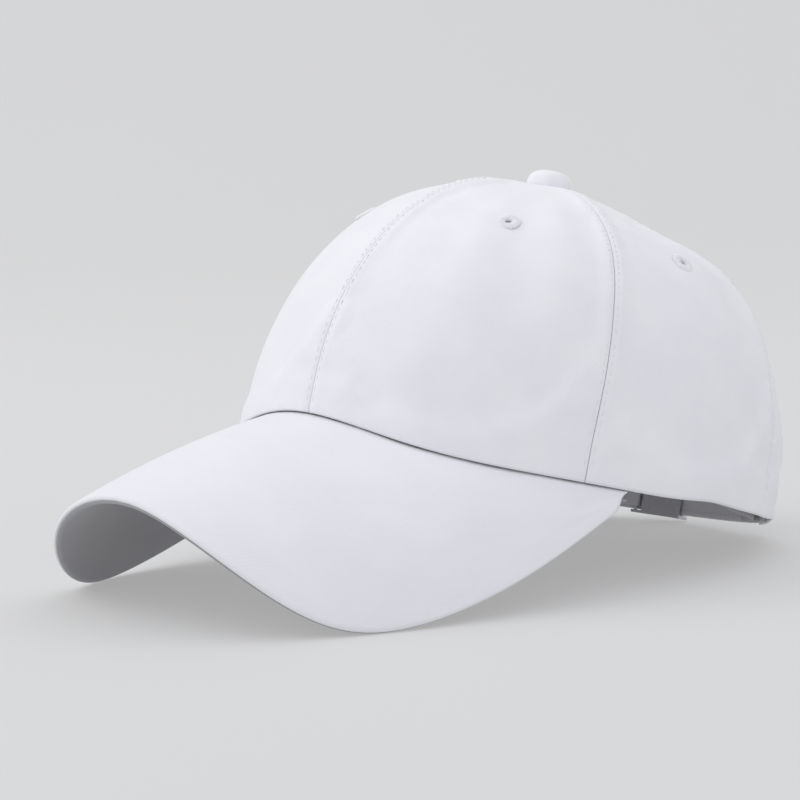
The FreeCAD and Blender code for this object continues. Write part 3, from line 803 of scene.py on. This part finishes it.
def make_tapes():
    seams = {
        "front": (0, 0.01),
        "front_side_left": (FRONT_SEAM, 0.01),
        "front_side_right": (-FRONT_SEAM, 0.01),
        "side_back_left": (BACK_SEAM, 0.01),
        "side_back_right": (-BACK_SEAM, 0.01),
        "back": (180, theta_at(pi, OPENING_HEIGHT + 2 * TAPE_HALF_WIDTH + 1)),
    }
    depth = CLOTH + SEAM_GAP + TAPE_CLOTH - 0.1
    for name, (turn, low) in seams.items():
        length = BACK_TAPE_LENGTH if name == "back" else TAPE_LENGTH
        piece = grid_shell(f"tape_{name}", taped(turn, low), 46, 13, (17, length), TAPE)
        finish_piece(piece, "cap", [f"seam_tape_{name}"])
        lines = []
        for offset in (TAPE_STITCH_OFFSET, -TAPE_STITCH_OFFSET):
            lines.append((inner_line(turn, offset, max(low, 0.1), depth), length * 0.8))
        sew(f"tape_stitches_{name}", lines, "cap")


def inner_line(turn, offset, low, depth):
    def line(share):
        theta = low + (radians(70) - low) * share
        phi = radians(turn)
        phi += offset / crown_slopes(phi, theta)[2]
        point, normal, span = cloth_point(phi, theta, depth)
        return point, -normal
    return line


def make_binding():
    """Strip inside the edge of the arched opening."""
    start = 0.012

    def face(u, v):
        turn = start + (pi - 2 * start) * v
        margin = 0.3 + u * TAPE_HALF_WIDTH
        across = (OPENING_HALF_WIDTH + margin) * cos(turn)
        phi, theta = back_turn(across, (OPENING_HEIGHT + margin) * sin(turn))
        point, normal, span = cloth_point(phi, theta)
        outer = CLOTH + SEAM_GAP
        swell = TAPE_CLOTH * (1 - 0.55 * abs(2 * u - 1) ** 6)
        return point - normal * (outer + swell), point - normal * outer

    piece = grid_shell("binding_tape", face, 74, 9, (8.5, 130), TAPE)
    finish_piece(piece, "cap", ["opening_binding"])
    depth = CLOTH + SEAM_GAP + TAPE_CLOTH
    outside = [(arch_line(margin), length) for margin, length in ARCH_STITCHES]
    inside = [(arch_line(margin, depth), length) for margin, length in ARCH_STITCHES]
    sew("opening_stitches", outside, "cap")
    sew("binding_stitches", inside, "cap")


def band_depth(phi):
    share = ease((degrees(abs(phi)) - TUNNEL_START) / TUNNEL_EASE)
    return BAND_DEPTH + (TUNNEL_DEPTH - BAND_DEPTH) * share


BAND_END = pi - asin((OPENING_HALF_WIDTH + 3) / HEM_HALF_WIDTH)


def band_point(phi, theta):
    """Point from which the sweatband's depth counts: it leaves the cloth for the tunnel."""
    worn, normal, span = cloth_point(phi, theta)
    plain = crown(phi, theta)
    apart = ease((degrees(abs(phi)) - TUNNEL_START) / TUNNEL_EASE)
    return worn * (1 - apart) + plain * apart, normal


def band_line(rise, sink):
    def line(share):
        phi = BAND_END * 0.985 * (2 * share - 1)
        point, normal = band_point(phi, theta_at(phi, rise))
        return point - normal * (band_depth(phi) + BAND_CLOTH - sink), -normal
    return line


def make_sweatband():
    def face(u, v):
        phi = BAND_END * (2 * u - 1)
        point, normal = band_point(phi, theta_at(phi, BAND_LIFT + BAND_HEIGHT * v))
        along = phi * 90
        swell = BAND_CLOTH * (1 - 0.5 * abs(2 * v - 1) ** 8)
        swell -= 0.35 * sum(bell(v, share, 0.035) for share in BAND_STITCHES)
        swell += 0.10 * sin(along * 0.35 + 2 * sin(along * 0.06)) * sin(pi * v) ** 2
        depth = band_depth(phi)
        return point - normal * depth, point - normal * (depth + swell)

    # The sweatband takes the cotton darkened as painted shade.
    piece = grid_shell("sweatband_cotton", face, 29, 241, (428, 30), BAND)
    finish_piece(piece, "cap", ["sweatband"])
    low, high = (BAND_LIFT + BAND_HEIGHT * share for share in BAND_STITCHES)
    lines = [(band_line(low, 0.4), 425), (band_line(high, 0.4), 405)]
    # Stitches in thread darkened as painted shade.
    sew("sweatband_stitches", lines, "cap", THREAD_IN_SHADE)


# ---------------------------------------------------------------- eyelets and button

def make_eyelet(place, sign):
    """Ring of thread round an air hole: radial stitches side by side."""
    point, normal, span = eyelet_place(place, sign)
    middle = to_row(point)
    out = (to_row(point + normal) - middle).normalized()
    side = out.orthogonal().normalized()
    other = out.cross(side)
    profile = ((EYELET_HOLE - 0.05, -0.7), (EYELET_HOLE, 0.1), (1.5, 0.62), (2.2, EYELET_HEIGHT),
               (2.9, 0.78), (3.5, 0.55), (EYELET_RADIUS, 0.0), (EYELET_RADIUS - 0.1, -0.35))
    around = EYELET_STITCHES * 6
    points = []
    faces = []
    for k in range(around):
        turn = 2 * pi * k / around
        lobe = abs(cos(turn * EYELET_STITCHES / 2))
        wander = 0.10 * sin(turn * 5 + 1) + 0.07 * sin(turn * 13)
        spoke = side * cos(turn) + other * sin(turn)
        for index, (radius, height) in enumerate(profile):
            outward = index / (len(profile) - 1)
            radius += (wander + 0.12 * lobe) * outward
            height *= 0.72 + 0.28 * lobe
            points.append(middle + (spoke * radius + out * height) * MM)
    rings = len(profile)
    for k in range(around):
        after = (k + 1) % around
        for m in range(rings):
            n = (m + 1) % rings
            faces.append((k * rings + m, k * rings + n, after * rings + n, after * rings + m))
    side_name = "left" if sign > 0 else "right"
    piece = mesh_object(f"eyelet_thread_{place}_{side_name}", points, faces, THREAD)
    finish_piece(piece, "cap", [f"eyelet_{place}_{side_name}"])


def make_button():
    """Cloth gathered over the button, turned under at its rim."""
    around = 96
    levels = 15
    points = []
    faces = []
    uvs = []
    for inside in (False, True):
        for m in range(levels):
            angle = pi / 2 * m / (levels - 1)
            for k in range(around):
                turn = 2 * pi * k / around
                radius = BUTTON_RADIUS * sin(angle) ** BUTTON_SIDE
                height = BUTTON_HEIGHT * max(cos(angle), 0) ** BUTTON_OVER
                pleat = 0.10 * sin(turn * BUTTON_PLEATS + 1.5 * sin(turn * 3)) * sin(angle) ** 4
                radius += pleat
                if inside:
                    radius = max(radius - BUTTON_CLOTH, 0.01)
                    height = max(height - BUTTON_CLOTH, -0.4)
                if m == levels - 1 and not inside:
                    height = -0.2
                place = Vector((radius * cos(turn), radius * sin(turn), height - BUTTON_SINK))
                place += Vector((0, CROWN_SETBACK, CROWN_HEIGHT))
                points.append(to_row(place))
                uvs.append((radius * cos(turn), radius * sin(turn)))
    under = around * levels
    for m in range(levels - 1):
        for k in range(around):
            after = (k + 1) % around
            a = m * around + k
            b = m * around + after
            faces.append((a, a + around, b + around, b))
            faces.append((under + a, under + b, under + b + around, under + a + around))
    edge = (levels - 1) * around
    for k in range(around):
        after = (k + 1) % around
        faces.append((edge + k, under + edge + k, under + edge + after, edge + after))
    piece = mesh_object("button_cloth", points, faces, TWILL, uvs)
    finish_piece(piece, "cap", ["button_cover"])


# ---------------------------------------------------------------- brim

def lean_back(point):
    """Point of the hem's plane, tilted but not yet moved to where the cap stands."""
    x, y, z = point
    return Vector((x, y * cos(TILT) + z * sin(TILT), z * cos(TILT) - y * sin(TILT)))


def brim_root(turn):
    """Point of the brim's rear edge, tucked in under the hem."""
    theta = theta_at(turn, ROOT_GAP)
    point, normal, span = crown_slopes(turn, theta)
    point = point - normal * ROOT_DEPTH
    point.z = hem_rise(turn) - ROOT_GAP
    return lean_back(point)


ROOT = brim_root(0)
CORNER = lean_back(crown(radians(BRIM_CORNER), 0))
TIP = ROOT.y - BRIM_LENGTH


def arch_height(x, y):
    """Height of the brim's arch, whose radius falls towards the tip."""
    radius = BRIM_ROOT_RADIUS + BRIM_NARROWING * (y - ROOT.y)
    sag = radius - sqrt(max(radius ** 2 - x ** 2, 1))
    return ROOT.z + BRIM_LIFT + BRIM_FALL * (y - ROOT.y) - sag


CORNER_DROP = arch_height(CORNER.x, CORNER.y) - CORNER.z


def brim_edge(share):
    """Point of the brim's outline, from its right corner at -1 to its left one at 1."""
    turn = share * pi / 2
    power = 2 / BRIM_EDGE_POWER
    sign = 1 if share > 0 else -1
    x = CORNER.x * BRIM_SPREAD * sign * abs(sin(turn)) ** power
    y = CORNER.y - (CORNER.y - TIP) * cos(turn) ** power
    return Vector((x, y, arch_height(x, y) - CORNER_DROP * abs(sin(turn)) ** 8))


def brim(across, along, inset=0.0):
    """Upper face of the brim: across -1 to 1, along 0 at its edge to 1 at the hem."""
    sign = 1 if across > 0 else -1
    share = sign * (1 - (1 - abs(across)) ** CORNER_CLOSENESS)
    edge = brim_edge(share)
    root = brim_root(share * radians(BRIM_CORNER))
    run = root - edge
    along += (1 - along) * min(inset / run.length, 0.3)
    point = edge + run * along
    point.z = arch_height(point.x, point.y)
    point.z += along * (root.z - arch_height(root.x, root.y))
    point.z += (1 - along) * (edge.z - arch_height(edge.x, edge.y))
    point.z += BRIM_CROWN * 4 * along * (1 - along)
    return point, run.length


def brim_point(across, along, inset, depth):
    """Point at a depth under the brim's upper face, as the cap stands, in metres."""
    point, run = brim(across, along, inset)
    left = brim(across - STEP, along, inset)[0]
    right = brim(across + STEP, along, inset)[0]
    low = brim(across, max(along - STEP, 0), inset)[0]
    high = brim(across, min(along + STEP, 1), inset)[0]
    normal = (right - left).cross(high - low).normalized()
    return (point - normal * depth + Vector(HEM_MIDDLE)) * MM


def make_brim():
    """Two covers whose edges turn round the board and meet in a seam along its rim."""
    half = BRIM_THICKNESS / 2
    columns = 161
    arc = 9
    rows = 26
    covers = {"top": "brim_top_cover", "under": "brim_under_cover"}
    for name, replaced in covers.items():
        upper = name == "top"
        outer = []
        inner = []
        uvs = []
        steps = [(90 * k / arc, 0.0) for k in range(arc)]
        steps += [(90, k / rows) for k in range(rows + 1)]
        for angle, along in steps:
            turn = radians(angle)
            inset = half * (1 - cos(turn)) * BRIM_ROUNDING
            inset += BRIM_SEAM * exp(-(angle / 14) ** 2)
            depth = half * (1 - sin(turn)) + BRIM_PLY_GAP
            inner_depth = min(depth + BRIM_SKIN, half - 0.01)
            inner_inset = inset + BRIM_SKIN * cos(turn)
            if not upper:
                depth = BRIM_THICKNESS - depth
                inner_depth = BRIM_THICKNESS - inner_depth
            outer_row = []
            inner_row = []
            uv_row = []
            for j in range(columns):
                across = BRIM_REACH * (2 * j / (columns - 1) - 1)
                if not upper:
                    across = -across
                outer_row.append(brim_point(across, along, inset, depth))
                inner_row.append(brim_point(across, along, inner_inset, inner_depth))
                uv_row.append((across * 105, along * 70 + inset))
            outer.append(outer_row)
            inner.append(inner_row)
            uvs.append(uv_row)
        # The under cover takes the twill darkened as painted shade under the brim.
        material = BRIM_TWILL if upper else UNDER_BRIM_SHADE_TWILL
        piece = shell(f"brim_{name}_cloth", outer, inner, uvs, material)
        finish_piece(piece, "cap", [replaced])


# ---------------------------------------------------------------- strap and its loop

def on_arc(turn, radius, height):
    """Point at a turn in degrees round the strap's arc, left is positive."""
    angle = radians(turn)
    return Vector((radius * sin(angle), ARC_CENTRE + radius * cos(angle), height))


def make_strap():
    columns = 15
    rows = 121
    middle = STRAP_RADIUS - STRAP_CLOTH / 2

    def face(u, v):
        side = -cos(pi * u)
        edge = sqrt(max(1 - abs(side) ** 10, 0.0))
        half = STRAP_CLOTH / 2 * (0.25 + 0.75 * edge)
        half -= 0.12 * bell(abs(side), 0.8, 0.05)
        turn = STRAP_HALF_TURN * (2 * v - 1)
        ripple = 0.05 * sin(turn * 1.7) * abs(side) ** 2
        height = STRAP_LOW + STRAP_WIDTH / 2 * (1 + side)
        return (on_arc(turn, middle + half + ripple, height),
                on_arc(turn, middle - half + ripple, height))

    # The strap takes the twill darkened as painted shade.
    piece = grid_shell("strap_twill", face, rows, columns, (18, 113), STRAP_SHADE_TWILL)
    finish_piece(piece, "strap", ["strap"])

    def line(side, radius, sign):
        def at(share):
            turn = STRAP_HALF_TURN * 0.985 * (2 * share - 1)
            height = STRAP_LOW + STRAP_WIDTH / 2 * (1 + side)
            place = on_arc(turn, radius, height)
            out = Vector((sin(radians(turn)), cos(radians(turn)), 0)) * sign
            return place, out
        return at

    lines = []
    for side in STRAP_STITCHES:
        lines.append((line(side, STRAP_RADIUS - 0.18, 1), 110))
        lines.append((line(side, STRAP_RADIUS - STRAP_CLOTH + 0.18, -1), 108))
    # Stitches in thread darkened as painted shade.
    sew("strap_stitches", lines, "strap", THREAD_IN_SHADE)


def make_loop():
    """Folded strip: sewn in beside the opening, round the buckle's bar and back."""
    half = LOOP_CLOTH / 2
    run_radius = STRAP_RADIUS - STRAP_CLOTH - LOOP_PLAY - half
    bend = BAR_RADIUS + 0.1 + half
    bar_radius = run_radius - bend
    path = []
    run_steps = 24
    bend_steps = 12
    end_steps = 6
    for k in range(run_steps + 1):
        turn = -BAR_TURN - LOOP_TURN * (1 - k / run_steps)
        angle = radians(turn)
        path.append((on_arc(turn, run_radius, 0), Vector((sin(angle), cos(angle), 0))))
    bar = on_arc(-BAR_TURN, bar_radius, 0)
    out = Vector((sin(radians(-BAR_TURN)), cos(radians(-BAR_TURN)), 0))
    ahead = Vector((out.y, -out.x, 0))
    for k in range(1, bend_steps):
        angle = pi * k / bend_steps
        spoke = out * cos(angle) + ahead * sin(angle)
        path.append((bar + spoke * bend, spoke))
    for k in range(end_steps + 1):
        turn = -BAR_TURN - LOOP_RETURN * k / end_steps
        angle = radians(turn)
        path.append((on_arc(turn, bar_radius - bend, 0), -Vector((sin(angle), cos(angle), 0))))
    low = STRAP_LOW + (STRAP_WIDTH - LOOP_WIDTH) / 2
    count = len(path) - 1

    def face(u, v):
        place, away = path[round(v * count)]
        side = -cos(pi * u)
        edge = half * (0.3 + 0.7 * sqrt(max(1 - abs(side) ** 10, 0)))
        rise = Vector((0, 0, low + LOOP_WIDTH / 2 * (1 + side)))
        return place + away * edge + rise, place - away * edge + rise

    # The loop takes the twill darkened as painted shade.
    piece = grid_shell("loop_twill", face, count + 1, 11, (16, 43), STRAP_SHADE_TWILL)
    finish_piece(piece, "cap", ["buckle_loop"])


# ---------------------------------------------------------------- pieces kept as they are

def finish_hard_pieces():
    looks = {"buckle_frame": STEEL, "buckle_pin": STEEL, "buckle_lever": STEEL,
             "button_shell": ALUMINIUM, "button_post": ALUMINIUM, "button_washer": ALUMINIUM,
             "brim_board": BOARD}
    for name, look in looks.items():
        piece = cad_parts[name]
        piece.data.materials.clear()
        piece.data.materials.append(look)
        if name.startswith("buckle"):
            soften = piece.modifiers.new("soft edges", "BEVEL")
            soften.width = 0.00018
            soften.segments = 2
            soften.limit_method = "ANGLE"
            soften.angle_limit = radians(40)


# ---------------------------------------------------------------- studio

def make_studio():
    """Floor that curves up into a backdrop, behind the cap as the camera sees it. It glows a little,
    painted light that lightens the shadows on it.
    """
    material, shader = start_material("studio paper glowing with painted light", (0.36, 0.36, 0.36), 0.9)
    # Painted light: the paper's grey is lowered and it glows instead, so the cap's shadows on the
    # floor come out lighter.
    shader.inputs["Emission Color"].default_value = (1, 1, 1, 1)
    shader.inputs["Emission Strength"].default_value = 0.31
    place = node(material, "ShaderNodeTexCoord")
    uneven_color(material, shader, place.outputs["Object"], (0.36, 0.36, 0.36),
                 (0.355, 0.355, 0.355), 2.0)
    back = Vector((-sin(CAMERA_TURN), cos(CAMERA_TURN), 0))
    side = Vector((cos(CAMERA_TURN), sin(CAMERA_TURN), 0))
    near = -2.5
    far = 1.2
    bend = 0.9
    top = 4.0
    steps = 16
    line = [(near, 0.0), (far, 0.0)]
    for k in range(1, steps + 1):
        angle = pi / 2 * k / steps
        line.append((far + bend * sin(angle), bend * (1 - cos(angle))))
    line.append((far + bend, top))
    points = []
    faces = []
    for away, height in line:
        for across in (-4, 4):
            points.append(back * away + side * across + Vector((0, 0, height)))
    for k in range(len(line) - 1):
        a = 2 * k
        faces.append((a, a + 1, a + 3, a + 2))
    floor = mesh_object("studio_floor", points, faces, material)


def add_light(name, location, aim, size, power):
    lamp = bpy.data.lights.new(name, "AREA")
    lamp.shape = "SQUARE"
    lamp.size = size
    lamp.energy = power
    item = bpy.data.objects.new(name, lamp)
    item.location = location
    item.rotation_euler = (Vector(aim) - Vector(location)).to_track_quat("-Z", "Y").to_euler()
    bpy.context.collection.objects.link(item)


CAMERA_TURN = radians(48.879)
CAMERA_RISE = radians(6.657)
CAMERA_ROLL = radians(-1.67)
CAMERA_DISTANCE = 1.0807
CAMERA_TARGET = Vector((0.0, -0.01519, 0.0586))
LENS = 147.8


def make_camera():
    data = bpy.data.cameras.new("camera")
    data.lens = LENS
    data.sensor_width = 36
    data.clip_end = 20
    camera = bpy.data.objects.new("camera", data)
    away = Vector((sin(CAMERA_TURN) * cos(CAMERA_RISE), -cos(CAMERA_TURN) * cos(CAMERA_RISE),
                   sin(CAMERA_RISE)))
    turn = away.to_track_quat("Z", "Y").to_matrix().to_4x4()
    place = Matrix.Translation(CAMERA_TARGET + away * CAMERA_DISTANCE)
    camera.matrix_world = place @ turn @ Matrix.Rotation(CAMERA_ROLL, 4, "Z")
    bpy.context.collection.objects.link(camera)
    bpy.context.scene.camera = camera


def make_lights():
    world = bpy.context.scene.world or bpy.data.worlds.new("studio air")
    bpy.context.scene.world = world
    world.use_nodes = True
    sky = world.node_tree.nodes["Background"]
    sky.inputs["Color"].default_value = (0.96, 0.97, 1.0, 1)
    sky.inputs["Strength"].default_value = 0.92
    add_light("key", (-1.15, -0.75, 1.35), (0, 0, 0.05), 1.3, 9)
    add_light("top", (-0.35, 0.65, 1.7), (0, 0, 0.05), 1.6, 1.6)
    bpy.context.scene.view_settings.view_transform = "Standard"


hang_cloth()
make_panels()
for eyelet in EYELETS:
    make_eyelet(eyelet, 1)
    make_eyelet(eyelet, -1)
make_seam_stitches()
make_tapes()
make_binding()
make_sweatband()
make_button()
make_brim()
make_strap()
make_loop()
finish_hard_pieces()
make_studio()
make_camera()
make_lights()

bpy.context.view_layer.update()
